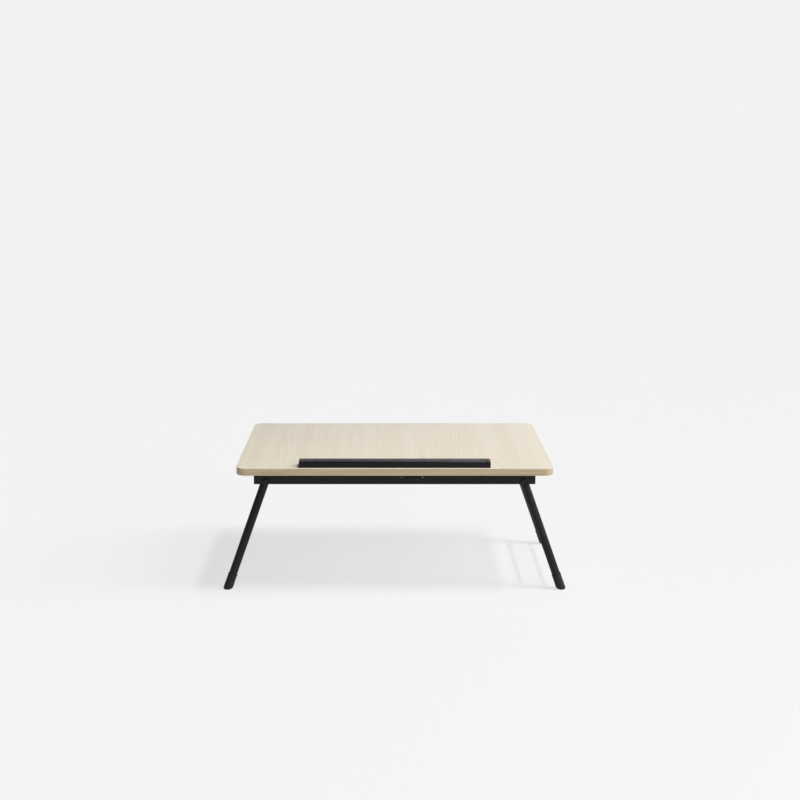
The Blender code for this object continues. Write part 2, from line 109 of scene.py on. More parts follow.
FOOT_SOLE_ROUND = 0.0044
LEAF = 0.0012
LEAF_CORNER = 0.003
KNUCKLE_RADIUS = 0.0021
MIDDLE_KNUCKLE = 0.0168
KNUCKLE_CLEAR = 0.0004
SCREW_HEAD, SCREW_SHANK = 0.0026, 0.0014
LEDGE_SCREW_HEAD, LEDGE_SCREW_SHANK = 0.0038, 0.0016
PROP_ARM = 0.134
PROP_HALF_WIDTH = 0.205
PROP_BEND = 0.008
RACK_NOTCH = 0.0026
RACK_TILTS = (0, 12, 18, 24, 30)
FOLD_PAST_LEVEL = 90.0
LEAN = math.radians(JOINTS["left_leg_fold"]["range_deg"][1] - FOLD_PAST_LEVEL)
LEG_PIVOT = Vector(JOINTS["right_leg_fold"]["pos_m"])
HINGE = Vector(JOINTS["top_tilt"]["pos_m"])
PROP = Vector(JOINTS["prop_swing"]["pos_m"])


# ---------------------------------------------------------------- mesh making


def mesh_of(bm):
    """The mesh of a bmesh, its faces turned outwards, the bmesh freed."""
    mesh = bpy.data.meshes.new("mesh")
    bmesh.ops.recalc_face_normals(bm, faces=bm.faces)
    bm.to_mesh(mesh)
    bm.free()
    return mesh


def loft(rings, closed=False):
    """A skin over rings of equally many points, with a face on the first and last ring."""
    bm = bmesh.new()
    rows = [[bm.verts.new(point) for point in ring] for ring in rings]
    pairs = list(zip(rows, rows[1:]))
    if closed:
        pairs.append((rows[-1], rows[0]))
    for row, after in pairs:
        for i, vertex in enumerate(row):
            j = (i + 1) % len(row)
            bm.faces.new((vertex, row[j], after[j], after[i]))
    if not closed:
        bm.faces.new(rows[0])
        bm.faces.new(rows[-1])
    return mesh_of(bm)


def arc(centre, radius, first, last, steps):
    """Points of an arc, its angles in degrees."""
    turns = (math.radians(first + (last - first) * i / steps) for i in range(steps + 1))
    return [(centre[0] + radius * math.cos(t), centre[1] + radius * math.sin(t)) for t in turns]


def rounded_rectangle(width, depth, radius, steps):
    x, y = width / 2 - radius, depth / 2 - radius
    corners = (((x, y), 0), ((-x, y), 90), ((-x, -y), 180), ((x, -y), 270))
    return [p for centre, turn in corners for p in arc(centre, radius, turn, turn + 90, steps)]


def inset(outline, distance):
    """The outline's points moved inwards. It runs anticlockwise."""
    moved = []
    count = len(outline)
    for i in range(count):
        before, here, after = (Vector(outline[k % count]) for k in (i - 1, i, i + 1))
        first, second = (here - before).normalized(), (after - here).normalized()
        normals = Vector((-first.y, first.x)), Vector((-second.y, second.x))
        middle = (normals[0] + normals[1]).normalized()
        moved.append(here + middle * distance / max(middle.dot(normals[0]), 0.3))
    return moved


def anticlockwise(outline):
    area = sum(a[0] * b[1] - b[0] * a[1] for a, b in zip(outline, outline[1:] + outline[:1]))
    return outline if area > 0 else outline[::-1]


def rounded_ends(start, end, first, last, steps=4):
    """(place along the length, inset) of the rings that round both ends of an extrusion."""
    turns = [math.pi / 2 * i / steps for i in range(steps + 1)]
    rings = [(start + first * (1 - math.cos(t)), first * (1 - math.sin(t))) for t in turns]
    return rings + [(end - last * (1 - math.sin(t)), last * (1 - math.cos(t))) for t in turns]


def extrusion(outline, start, end, rounding, place, last=None):
    """An outline run from start to end, its end edges rounded; place(u, v, w) gives a point."""
    outline = anticlockwise([tuple(point) for point in outline])
    rings = []
    for along, depth in rounded_ends(start, end, rounding, rounding if last is None else last):
        rings.append([place(u, v, along) for u, v in inset(outline, depth)])
    return loft(rings)


def along_x(u, v, w):
    return (w, u, v)


def along_y(u, v, w):
    return (u, w, v)


def along_z(u, v, w):
    return (u, v, w)


def placed(start, direction):
    """The matrix that puts local +Z on the direction and the origin at the start."""
    turn = Vector(direction).to_track_quat("Z", "Y").to_matrix().to_4x4()
    return Matrix.Translation(start) @ turn


def turned(profile, start, direction, segments=48):
    """A turned solid whose (radius, height) profile begins and ends on or near its axis."""
    turn = placed(start, direction)
    rings = []
    for radius, height in profile:
        radius = max(radius, 1e-5)
        steps = (2 * math.pi * i / segments for i in range(segments))
        ring = [turn @ Vector((radius * math.cos(a), radius * math.sin(a), height)) for a in steps]
        rings.append(ring)
    return loft(rings)


def tube_along(path, radius, segments=24, closed=False, radii=None):
    """A round bar along a path, carried round its bends without a twist."""
    path = [Vector(point) for point in path]
    count = len(path)
    ahead = []
    for i in range(count):
        before = path[i - 1] if closed or i else path[i]
        after = path[(i + 1) % count] if closed or i + 1 < count else path[i]
        ahead.append((after - before).normalized())
    across = ahead[0].orthogonal().normalized()
    rings = []
    for i, (point, direction) in enumerate(zip(path, ahead)):
        across = (across - direction * across.dot(direction)).normalized()
        other = direction.cross(across)
        size = radii[i] if radii else radius
        steps = (2 * math.pi * k / segments for k in range(segments))
        rings.append([point + (across * math.cos(a) + other * math.sin(a)) * size for a in steps])
    return loft(rings, closed)


def filleted(path, radius, steps):
    """The path with each inner corner replaced by points of a round bend."""
    path = [Vector(point) for point in path]
    points = [path[0]]
    for before, corner, after in zip(path, path[1:], path[2:]):
        first, second = (before - corner).normalized(), (after - corner).normalized()
        half = first.angle(second) / 2
        reach = radius / math.tan(half)
        centre = corner + (first + second).normalized() * radius / math.sin(half)
        start, end = corner + first * reach - centre, corner + second * reach - centre
        sweep = start.angle(end)
        for i in range(steps + 1):
            part = sweep * i / steps
            turned_to = start * math.sin(sweep - part) + end * math.sin(part)
            points.append(centre + turned_to / math.sin(sweep))
    return points + [path[-1]]


def strip(path, thickness, bend, steps=8):
    """The outline of a strip of sheet, bent along the path of (y, z) points."""
    path = filleted(path, bend, steps)
    sides = ([], [])
    for i, point in enumerate(path):
        ahead = path[min(i + 1, len(path) - 1)] - point
        behind = point - path[max(i - 1, 0)]
        normals = [Vector((-d.y, d.x)).normalized() for d in (ahead, behind) if d.length > 0]
        normal = sum(normals, Vector((0, 0))).normalized()
        offset = normal * thickness / 2 / normal.dot(normals[0])
        sides[0].append(point + offset)
        sides[1].append(point - offset)
    return [tuple(point) for point in sides[0] + sides[1][::-1]]


def evaluated(obj):
    """The mesh that an object and its modifiers come to, the object removed."""
    graph = bpy.context.evaluated_depsgraph_get()
    mesh = bpy.data.meshes.new_from_object(obj.evaluated_get(graph))
    bpy.data.objects.remove(obj, do_unlink=True)
    return mesh


def combined(mesh, others, operation):
    """The mesh cut by the others, joined with them or kept where they overlap, one by one."""
    tools = []
    target = bpy.data.objects.new("target", mesh)
    bpy.context.scene.collection.objects.link(target)
    for other in others:
        tool = bpy.data.objects.new("tool", other)
        bpy.context.scene.collection.objects.link(tool)
        modifier = target.modifiers.new("combine", "BOOLEAN")
        modifier.operation = operation
        modifier.solver = "EXACT"
        modifier.object = tool
        tools.append(tool)
    bpy.context.view_layer.update()
    made = evaluated(target)
    for tool in tools:
        bpy.data.objects.remove(tool, do_unlink=True)
    return made


def box(low, high):
    low, high = Vector(low), Vector(high)
    bm = bmesh.new()
    bmesh.ops.create_cube(bm, size=1.0)
    bmesh.ops.scale(bm, vec=high - low, verts=bm.verts)
    bmesh.ops.translate(bm, vec=(low + high) / 2, verts=bm.verts)
    return mesh_of(bm)


def add_piece(name, mesh, *nodes, smooth=38):
    """An object for the mesh that stands for CAD nodes: their body, slot and material."""
    mesh.name = name
    mesh.materials.clear()
    mesh.materials.append(MATERIALS[SLOT_OF[nodes[0]]])
    mesh.shade_smooth()
    mesh.set_sharp_from_angle(angle=math.radians(smooth))
    made = bpy.data.objects.new(name, mesh)
    bpy.context.scene.collection.objects.link(made)
    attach(made, BODY_OF[nodes[0]])
    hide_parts(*nodes)


def add_detail(name, mesh, beside):
    """A piece with no CAD node of its own, such as a weld, beside a node on its body."""
    mesh.name = name
    mesh.materials.append(MATERIALS[SLOT_OF[beside]])
    mesh.shade_smooth()
    made = bpy.data.objects.new(name, mesh)
    bpy.context.scene.collection.objects.link(made)
    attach(made, BODY_OF[beside])


# ---------------------------------------------------------------- materials


class Material:
    """A Principled material and short calls for the nodes that shape it."""

    def __init__(self, name, **values):
        self.material = bpy.data.materials.new(name)
        self.material.use_nodes = True
        self.tree = self.material.node_tree
        self.shader = self.tree.nodes["Principled BSDF"]
        for socket, value in values.items():
            self.shader.inputs[socket.replace("_", " ")].default_value = value
        coordinates = self.tree.nodes.new("ShaderNodeTexCoord")
        self.place = coordinates.outputs["Object"]

    def node(self, kind, inputs, **settings):
        made = self.tree.nodes.new(kind)
        for key, value in settings.items():
            setattr(made, key, value)
        for key, value in inputs.items():
            if isinstance(value, bpy.types.NodeSocket):
                self.tree.links.new(value, made.inputs[key])
            else:
                made.inputs[key].default_value = value
        return made

    def math(self, operation, *values):
        inputs = dict(enumerate(values))
        return self.node("ShaderNodeMath", inputs, operation=operation).outputs[0]

    def stretched(self, scale):
        inputs = {"Vector": self.place, "Scale": scale}
        return self.node("ShaderNodeMapping", inputs).outputs[0]

    def noise(self, scale, detail=3.0, roughness=0.5):
        """Noise with its own number of features a metre along each axis."""
        inputs = {"Vector": self.stretched(scale), "Scale": 1.0}
        inputs.update({"Detail": detail, "Roughness": roughness})
        return self.node("ShaderNodeTexNoise", inputs).outputs["Fac"]

    def between(self, value, low, high, to_low=0.0, to_high=1.0):
        """The value's stretch from low to high, eased into another range."""
        inputs = {"Value": value, "From Min": low, "From Max": high}
        inputs.update({"To Min": to_low, "To Max": to_high})
        kind = "SMOOTHSTEP"
        return self.node("ShaderNodeMapRange", inputs, interpolation_type=kind).outputs[0]

    def mix(self, factor, first, second):
        """One colour blended into another."""
        made = self.tree.nodes.new("ShaderNodeMix")
        made.data_type = "RGBA"
        for socket, value in ((0, factor), (6, first), (7, second)):
            if isinstance(value, bpy.types.NodeSocket):
                self.tree.links.new(value, made.inputs[socket])
            else:
                made.inputs[socket].default_value = (*value, 1) if socket else value
        return made.outputs[2]

    def colour(self, value):
        self.tree.links.new(value, self.shader.inputs["Base Color"])

    def rough(self, value):
        self.tree.links.new(value, self.shader.inputs["Roughness"])

    def bump(self, height, distance, strength=1.0):
        inputs = {"Height": height, "Distance": distance, "Strength": strength}
        normal = self.node("ShaderNodeBump", inputs).outputs[0]
        self.tree.links.new(normal, self.shader.inputs["Normal"])

    def edges(self, radius):
        """How close a point is to a sharp edge, from the way a rounded normal leans there: the mask
        of the painted edge highlights.
        """
        rounded = self.node("ShaderNodeBevel", {"Radius": radius}, samples=4).outputs[0]
        normal = self.tree.nodes.new("ShaderNodeNewGeometry").outputs["Normal"]
        inputs = {0: rounded, 1: normal}
        product = self.node("ShaderNodeVectorMath", inputs, operation="DOT_PRODUCT")
        return self.between(product.outputs["Value"], 0.999, 0.85)


def oak_laminate():
    """Pale oak foil, front to back: faint fibres, short pores and a few flame figures."""
    made = Material("oak_laminate", Roughness=0.44, Specular_IOR_Level=0.42)
    plank = 0.150
    parts = made.node("ShaderNodeSeparateXYZ", {"Vector": made.place})
    x, y = parts.outputs["X"], parts.outputs["Y"]
    sway = made.math("SUBTRACT", made.noise((5, 1.3, 1), 3), 0.5)
    shifted = made.math("ADD", x, made.math("MULTIPLY", sway, 0.060))
    number = made.math("FLOOR", made.math("DIVIDE", made.math("ADD", shifted, 0.04), plank))
    middle = made.math("MULTIPLY", made.math("ADD", number, 0.5), plank)
    off = made.math("SUBTRACT", made.math("ADD", shifted, 0.04), middle)
    start = made.math("MULTIPLY", made.math("SINE", made.math("MULTIPLY", number, 2.7)), 3.1)
    flame = made.math("MULTIPLY", made.math("MULTIPLY", off, off), 900.0)
    length = made.math("MULTIPLY", y, made.math("ADD", made.math("COSINE", number), 3.4))
    wobble = made.math("MULTIPLY", made.noise((16, 4, 1), 4, 0.6), 2.2)
    rings = made.math("ADD", made.math("ADD", flame, length), made.math("ADD", wobble, start))
    wave = made.math("SINE", made.math("MULTIPLY", rings, 2 * math.pi))
    figure = made.between(wave, 0.45, 1.0)
    patches = made.between(made.noise((13, 3.2, 1), 3), 0.49, 0.68)
    fibres = made.noise((420, 7, 1), 5, 0.62)
    streaks = made.noise((46, 0.9, 1), 5, 0.62)
    pores = made.between(made.noise((1150, 42, 1), 2, 0.5), 0.66, 0.74)
    dark = made.math("MULTIPLY", figure, made.math("MULTIPLY", patches, 0.34))
    tone = made.mix(made.between(streaks, 0.30, 0.72), (0.552, 0.496, 0.402), (0.584, 0.532, 0.444))
    tone = made.mix(dark, tone, (0.455, 0.392, 0.295))
    tone = made.mix(made.between(fibres, 0.50, 0.78, 0.0, 0.30), tone, (0.625, 0.580, 0.498))
    tone = made.mix(made.math("MULTIPLY", pores, 0.22), tone, (0.330, 0.275, 0.205))
    made.colour(tone)
    made.rough(made.between(fibres, 0.3, 0.7, 0.38, 0.50))
    height = made.math("SUBTRACT", made.math("MULTIPLY", fibres, 0.5), pores)
    made.bump(height, 0.00003, 0.5)
    return made.material


def edge_band():
    """Beige edge band: streaks that run along the edge, and a painted highlight along its edges."""
    made = Material("edge_band", Roughness=0.5, Specular_IOR_Level=0.35)
    streaks = made.noise((14, 14, 620), 4, 0.6)
    broad = made.noise((3, 3, 120), 2)
    pores = made.between(made.noise((90, 90, 1900), 2), 0.64, 0.74)
    tone = made.mix(made.between(streaks, 0.32, 0.68), (0.372, 0.292, 0.172), (0.470, 0.385, 0.250))
    tone = made.mix(made.between(broad, 0.35, 0.65, 0.0, 0.35), tone, (0.500, 0.415, 0.285))
    tone = made.mix(made.math("MULTIPLY", pores, 0.4), tone, (0.240, 0.178, 0.100))
    # Painted highlight: a lighter colour along the band's sharp edges.
    tone = made.mix(made.math("MULTIPLY", made.edges(0.0008), 0.35), tone, (0.580, 0.500, 0.370))
    made.colour(tone)
    made.rough(made.between(streaks, 0.3, 0.7, 0.44, 0.56))
    made.bump(streaks, 0.00003, 0.5)
    return made.material


def board_core():
    """The board's underside: a plain pale backing foil, faintly mottled, over fibreboard."""
    made = Material("board_core", Roughness=0.6, Specular_IOR_Level=0.35)
    clouds = made.noise((22, 7, 22), 4, 0.6)
    fibres = made.noise((900, 300, 900), 3, 0.6)
    normal = made.tree.nodes.new("ShaderNodeNewGeometry").outputs["Normal"]
    down = made.node("ShaderNodeSeparateXYZ", {"Vector": normal}).outputs["Z"]
    level = made.between(made.math("ABSOLUTE", down), 0.80, 0.95)
    foil = made.mix(made.between(clouds, 0.35, 0.65), (0.500, 0.445, 0.360), (0.560, 0.508, 0.425))
    foil = made.mix(made.between(fibres, 0.55, 0.75, 0.0, 0.3), foil, (0.420, 0.360, 0.280))
    cut = made.mix(fibres, (0.250, 0.170, 0.100), (0.420, 0.310, 0.200))
    made.colour(made.mix(level, cut, foil))
    made.rough(made.between(clouds, 0.3, 0.7, 0.52, 0.66))
    made.bump(fibres, 0.00004, 0.4)
    return made.material


def black_paint():
    """Satin powder coat: a fine orange peel, and a painted highlight, greyer, along its edges."""
    made = Material("black_paint", Roughness=0.5, Specular_IOR_Level=0.24)
    made.shader.inputs["Specular Tint"].default_value = (0.98, 0.93, 1.0, 1.0)
    peel = made.noise((1400, 1400, 1400), 2)
    clouds = made.noise((30, 30, 30), 4, 0.6)
    specks = made.between(made.noise((2600, 2600, 2600), 1), 0.70, 0.80)
    tone = made.mix(clouds, (0.0048, 0.0045, 0.0050), (0.0080, 0.0074, 0.0084))
    tone = made.mix(made.math("MULTIPLY", specks, 0.4), tone, (0.026, 0.025, 0.027))
    # Painted highlight: a greyer colour along the sharp edges.
    tone = made.mix(made.math("MULTIPLY", made.edges(0.0005), 0.5), tone, (0.036, 0.034, 0.037))
    made.colour(tone)
    made.rough(made.between(clouds, 0.3, 0.7, 0.44, 0.56))
    made.bump(peel, 0.00006, 0.35)
    return made.material


def black_zinc():
    """Dark plated steel, smoother than the paint, with a faint bronze bloom and a painted highlight
    along its edges.
    """
    made = Material("black_zinc", Metallic=1.0, Roughness=0.34)
    bloom = made.noise((160, 160, 160), 4, 0.6)
    grit = made.noise((2200, 2200, 2200), 2)
    tone = made.mix(made.between(bloom, 0.35, 0.65), (0.018, 0.018, 0.020), (0.034, 0.031, 0.028))
    # Painted highlight: a lighter colour along the sharp edges.
    tone = made.mix(made.math("MULTIPLY", made.edges(0.0004), 0.5), tone, (0.110, 0.106, 0.102))
    made.colour(tone)
    made.rough(made.between(grit, 0.3, 0.7, 0.28, 0.40))
    made.bump(grit, 0.00002, 0.4)
    return made.material


def black_plastic():
    """Satin black moulding with the fine grain of a spark-eroded tool, and a painted highlight
    along its edges.
    """
    made = Material("black_plastic", Roughness=0.34, Specular_IOR_Level=0.24)
    made.shader.inputs["Specular Tint"].default_value = (0.98, 0.93, 1.0, 1.0)
    grain = made.noise((1900, 1900, 1900), 3, 0.6)
    clouds = made.noise((45, 45, 45), 3)
    tone = made.mix(clouds, (0.0020, 0.0014, 0.0016), (0.0036, 0.0026, 0.0030))
    # Painted highlight: a lighter colour along the sharp edges.
    tone = made.mix(made.math("MULTIPLY", made.edges(0.0004), 0.4), tone, (0.040, 0.037, 0.040))
    made.colour(tone)
    made.rough(made.between(clouds, 0.3, 0.7, 0.30, 0.38))
    made.bump(grain, 0.00004, 0.35)
    return made.material


def black_rubber():
    """Matt rubber: fine speckle, and pale dust gathered low on the foot."""
    made = Material("black_rubber", Roughness=0.8, Specular_IOR_Level=0.28)
    speckle = made.noise((1600, 1600, 1600), 3, 0.6)
    dust = made.noise((260, 260, 260), 3, 0.6)
    height = made.node("ShaderNodeSeparateXYZ", {"Vector": made.place}).outputs["Z"]
    low = made.between(height, 0.010, 0.0)
    tone = made.mix(speckle, (0.0090, 0.0086, 0.0094), (0.0160, 0.0152, 0.0168))
    dusty = made.math("MULTIPLY", made.between(dust, 0.45, 0.75), made.math("MULTIPLY", low, 0.35))
    made.colour(made.mix(dusty, tone, (0.080, 0.076, 0.072)))
    made.rough(made.between(speckle, 0.3, 0.7, 0.64, 0.82))
    made.bump(speckle, 0.00008, 0.5)
    return made.material


def zinc_steel():
    """Bright zinc plate: a soft spangle, and faint blue and yellow of the passivate."""
    made = Material("zinc_steel", Metallic=1.0, Roughness=0.32)
    spangle = made.noise((420, 420, 420), 4, 0.6)
    tint = made.noise((70, 70, 70), 3)
    grit = made.noise((2400, 2400, 2400), 2)
    tone = made.mix(made.between(tint, 0.35, 0.65), (0.560, 0.575, 0.600), (0.610, 0.590, 0.530))
    tone = made.mix(made.between(spangle, 0.40, 0.70, 0.0, 0.45), tone, (0.430, 0.435, 0.440))
    made.colour(tone)
    made.rough(made.between(spangle, 0.3, 0.7, 0.24, 0.42))
    made.bump(grit, 0.00002, 0.4)
    return made.material


def white_nylon():
    """Natural nylon, faintly warm and uneven, with a moulded skin."""
    made = Material("white_nylon", Roughness=0.45, Subsurface_Weight=0.12)
    made.shader.inputs["Subsurface Scale"].default_value = 0.001
    clouds = made.noise((90, 90, 90), 3)
    skin = made.noise((1500, 1500, 1500), 2)
    tone = made.mix(made.between(clouds, 0.35, 0.65), (0.640, 0.625, 0.580), (0.715, 0.705, 0.670))
    made.colour(tone)
    made.rough(made.between(skin, 0.3, 0.7, 0.38, 0.52))
    made.bump(skin, 0.00003, 0.4)
    return made.material


MAKERS = (oak_laminate, edge_band, board_core, black_paint, black_zinc, black_plastic)
MAKERS += (black_rubber, zinc_steel, white_nylon)
MATERIALS = {maker.__name__: maker() for maker in MAKERS}


# ---------------------------------------------------------------- the top


def table_surface():
    """The foil on the board, its upper edge eased."""
    low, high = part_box("top_laminate")
    width, depth = high.x - low.x, high.y - low.y
    ease, steps = 0.0006, 4
    levels = [(low.z, 0.0), (high.z - ease, 0.0)]
    for i in range(1, steps + 1):
        t = math.pi / 2 * i / steps
        levels.append((high.z - ease + ease * math.sin(t), ease * (1 - math.cos(t))))
    rings = []
    for z, d in levels:
        outline = rounded_rectangle(width - 2 * d, depth - 2 * d, TOP_CORNER - d, 24)
        rings.append([(x, y, z) for x, y in outline])
    add_piece("tabletop_surface", loft(rings), "top_laminate")


def edge_strip():
    """The band round the board's edge, its lower outer edge rounded."""
    low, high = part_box("edge_band")
    width, depth = high.x - low.x, high.y - low.y
    thick, round_low, ease, steps = 0.001, 0.0009, 0.00015, 4
    section = [(thick, low.z), (thick, high.z), (ease, high.z), (0.0, high.z - ease)]
    for i in range(steps + 1):
        t = math.pi / 2 * i / steps
        section.append((round_low * (1 - math.cos(t)), low.z + round_low * (1 - math.sin(t))))
    rings = []
    for d, z in section:
        outline = rounded_rectangle(width - 2 * d, depth - 2 * d, TOP_CORNER - d, 24)
        rings.append([(x, y, z) for x, y in outline])
    add_piece("tabletop_edge_band", loft(rings, closed=True), "edge_band")


def ledge():
    """The stopper bar, round along its top edges, and the cap on each end."""
    low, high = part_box("ledge_bar")
    front, back, top, radius = low.y, high.y, high.z, LEDGE_ROUND
    outline = [(front, low.z), (back, low.z)]
    outline += arc((back - radius, top - radius), radius, 0, 90, 8)
    outline += arc((front + radius, top - radius), radius, 90, 180, 8)
    bar = extrusion(outline, low.x, high.x, 0.0001, along_x)
    add_piece("ledge_extrusion", bar, "ledge_bar", smooth=30)
    square, round_end = 0.0002, CAP_END_ROUND
    for side in SIDES:
        node = f"ledge_{side}_cap"
        start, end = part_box(node)
        first, last = (round_end, square) if side == "left" else (square, round_end)
        cap = extrusion(outline, start.x, end.x, first, along_x, last)
        add_piece(f"ledge_end_cap_{side}", cap, node, smooth=30)


# ---------------------------------------------------------------- the frame


def rail(end):
    """The bent angle: a long upright web, a flange turned in, and the clip's slot."""
    node, sign = f"{end}_rail", ENDS[end]
    low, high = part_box(node)
    face = low.y if sign < 0 else high.y
    web = face - sign * RAIL_SHEET / 2
    top = high.z - RAIL_SHEET / 2
    path = [(web, low.z), (web, top), (face - sign * RAIL_FLANGE, top)]
    body = extrusion(strip(path, RAIL_SHEET, RAIL_BEND), low.x, high.x, 0.0004, along_x)
    clip_low, clip_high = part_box(f"{end}_leg_clip")
    middle = (clip_low.x + clip_high.x) / 2
    outline = rounded_rectangle(SLOT_LENGTH, SLOT_HEIGHT, SLOT_HEIGHT * 0.49, 8)
    rings = [
        [(middle + x, y, SLOT_Z + z) for x, z in outline]
        for y in (face - sign * (RAIL_SHEET + 0.002), face + sign * 0.002)
    ]
    add_piece(f"{end}_rail_angle", combined(body, [loft(rings)], "DIFFERENCE"), node, smooth=30)


def weld(name, path, radius, beside, ripples):
    """A bead laid round a joint, its ripples where each drop of metal set."""
    waves = (abs(math.sin(math.pi * ripples * i / len(path))) for i in range(len(path)))
    radii = [radius * (1 + 0.16 * wave) for wave in waves]
    add_detail(name, tube_along(path, radius, 10, closed=True, radii=radii), beside)


def cross_tube(side):
    """A box section with rounded corners, welded to both rails."""
    node = f"{side}_cross_tube"
    low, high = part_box(node)
    centre_x, centre_z = (low.x + high.x) / 2, (low.z + high.z) / 2
    section = rounded_rectangle(high.x - low.x, high.z - low.z, CROSS_TUBE_CORNER, 8)
    outline = [(centre_x + x, centre_z + z) for x, z in section]
    add_piece(f"{side}_cross_member", extrusion(outline, low.y, high.y, 0.0001, along_y), node)
    for end, sign in ENDS.items():
        y = low.y if sign < 0 else high.y
        ring = rounded_rectangle(high.x - low.x, high.z - low.z, CROSS_TUBE_CORNER, 12)
        path = [(centre_x + x, y - sign * 0.0002, centre_z + z) for x, z in spaced(ring, 120)]
        weld(f"{side}_cross_weld_{end}", path, 0.0009, node, 26)


def spaced(outline, count):
    """Points evenly spaced round a closed outline."""
    points = [Vector(p) for p in outline]
    ends = points[1:] + points[:1]
    lengths = [(b - a).length for a, b in zip(points, ends)]
    step, found, travelled, k = sum(lengths) / count, [], 0.0, 0
    for i in range(count):
        while travelled + lengths[k] < i * step:
            travelled += lengths[k]
            k += 1
        part = (i * step - travelled) / lengths[k]
        found.append(tuple(points[k].lerp(ends[k], part)))
    return found


def pivot_hardware(side, end):
    """A button-head bolt with a hex socket, the plastic washer and the lock nut."""
    sign = ENDS[end]
    out = Vector((0, sign, 0))
    prefix = f"{end}_{side}"
    low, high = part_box(f"{prefix}_pivot_bolt")
    x, z = (low.x + high.x) / 2, (low.z + high.z) / 2
    tip, crown = (low.y, high.y) if sign > 0 else (high.y, low.y)
    rail_low, rail_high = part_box(f"{end}_rail")
    face = rail_high.y if sign > 0 else rail_low.y
    tall, radius, shank = abs(crown - face) - GAP, (high.x - low.x) / 2, BOLT_SHANK
    start = Vector((x, face + sign * GAP, z))
    profile = [(0.0, tall)]
    for i in range(1, 13):
        t = math.pi / 2 * i / 12
        profile.append((radius * math.sin(t), tall * 0.22 + tall * 0.78 * math.cos(t)))
    profile += [(radius, 0.0003), (radius - 0.0003, 0.0), (shank, 0.0)]
    length = abs(tip - start.y)
    profile += [(shank, -length + 0.0006), (shank - 0.0006, -length), (0.0, -length)]
    floor_at = tall * 0.45
    hexagon = [(0.0, 0.01), (BOLT_SOCKET, 0.01), (BOLT_SOCKET, floor_at), (0.0, floor_at)]
    socket = turned(hexagon, start, out, 6)
    bolt = combined(turned(profile, start, out), [socket], "DIFFERENCE")
    add_piece(f"{prefix}_button_bolt", bolt, f"{prefix}_pivot_bolt", smooth=30)

    low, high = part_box(f"{prefix}_spacer_washer")
    add_piece(f"{prefix}_plastic_washer", washer(low, high), f"{prefix}_spacer_washer")

    low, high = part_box(f"{prefix}_lock_nut")
    inner = high.y if sign > 0 else low.y
    lock_nut = nut(Vector((x, inner, z)), -out, high.y - low.y)
    add_piece(f"{prefix}_nut", lock_nut, f"{prefix}_lock_nut", smooth=30)


def washer(low, high):
    """A flat ring along Y, its four edges eased."""
    centre, bore = (low + high) / 2, WASHER_BORE
    outer, half, ease = (high.z - low.z) / 2, (high.y - low.y) / 2, 0.0002
    section = [(outer - ease, -half), (outer, -half + ease), (outer, half - ease)]
    section += [(outer - ease, half), (bore + ease, half), (bore, half - ease)]
    section += [(bore, -half + ease), (bore + ease, -half)]
    rings = []
    for radius, y in section:
        steps = (2 * math.pi * i / 48 for i in range(48))
        ring = [centre + Vector((radius * math.cos(a), y, radius * math.sin(a))) for a in steps]
        rings.append(ring)
    return loft(rings, closed=True)


def nut(start, direction, height):
    """A lock nut: a chamfered hexagon with a rounded collar."""
    corner, flat, shoulder = NUT_CORNER, NUT_FLAT, height * 0.72
    outline = [(0, 0), (corner, 0), (corner, shoulder), (0, shoulder)]
    hexagon = turned(outline, start, direction, 6)
    chamfer = [(0, 0.0), (flat - 0.0001, 0.0), (corner + 0.0001, 0.0006)]
    chamfer += [(corner + 0.0001, shoulder - 0.0006), (flat - 0.0001, shoulder), (0, shoulder)]
    body = combined(hexagon, [turned(chamfer, start, direction)], "INTERSECT")
    collar = [(0, height * 0.5), (flat * 0.88, height * 0.5)]
    for i in range(7):
        t = math.pi / 2 * i / 6
        collar.append((flat * (0.72 + 0.16 * math.cos(t)), height * (0.88 + 0.12 * math.sin(t))))
    collar += [(NUT_BORE, height), (NUT_BORE, height * 0.9), (0, height * 0.9)]
    return combined(body, [turned(collar, start, direction)], "UNION")


def leg_clip(end):
    """The spring strip hooked through the rail, with smooth bends and a narrower tongue."""
    node, sign = f"{end}_leg_clip", ENDS[end]
    low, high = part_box(node)
    near = (high.y if sign > 0 else low.y) * sign - CLIP_SHEET / 2
    top, inside, hook = high.z - CLIP_SHEET / 2, near - CLIP_STEP_IN, near - CLIP_REACH
    path = [(near, CLIP_OUTER_TIP_Z), (near, SLOT_Z), (inside, SLOT_Z), (inside, top), (hook, top)]
    path += [(hook + y, z) for y, z in CLIP_HOOK]
    outline = strip([(sign * y, z) for y, z in path], CLIP_SHEET, CLIP_BEND, 6)
    body = extrusion(outline, low.x, high.x, 0.0002, along_x)
    middle, face = (low.x + high.x) / 2, sign * (near - CLIP_SHEET / 2 - 2 * GAP)
    beyond = face + sign * 0.004
    cuts = []
    for side in SIDES.values():
        shoulder, edge = middle + side * TONGUE_WIDTH / 2, middle + side * SLOT_LENGTH / 2
        cut_low = (min(shoulder, edge), min(face, beyond), TONGUE_CUT_Z[0])
        cut_high = (max(shoulder, edge), max(face, beyond), TONGUE_CUT_Z[1])
        cuts.append(box(cut_low, cut_high))
    add_piece(f"{end}_spring_clip", combined(body, cuts, "DIFFERENCE"), node, smooth=40)


# ---------------------------------------------------------------- the legs


def leg_place(side, end, reach):
    """A point on a leg's centre line, at a distance below its pivot, and the way down it."""
    sign = SIDES[side]
    low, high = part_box(f"{end}_{side}_leg")
    down = Vector((sign * math.sin(LEAN), 0, -math.cos(LEAN)))
    pivot = Vector((sign * LEG_PIVOT.x, (low.y + high.y) / 2, LEG_PIVOT.z))
    return pivot + down * reach, down


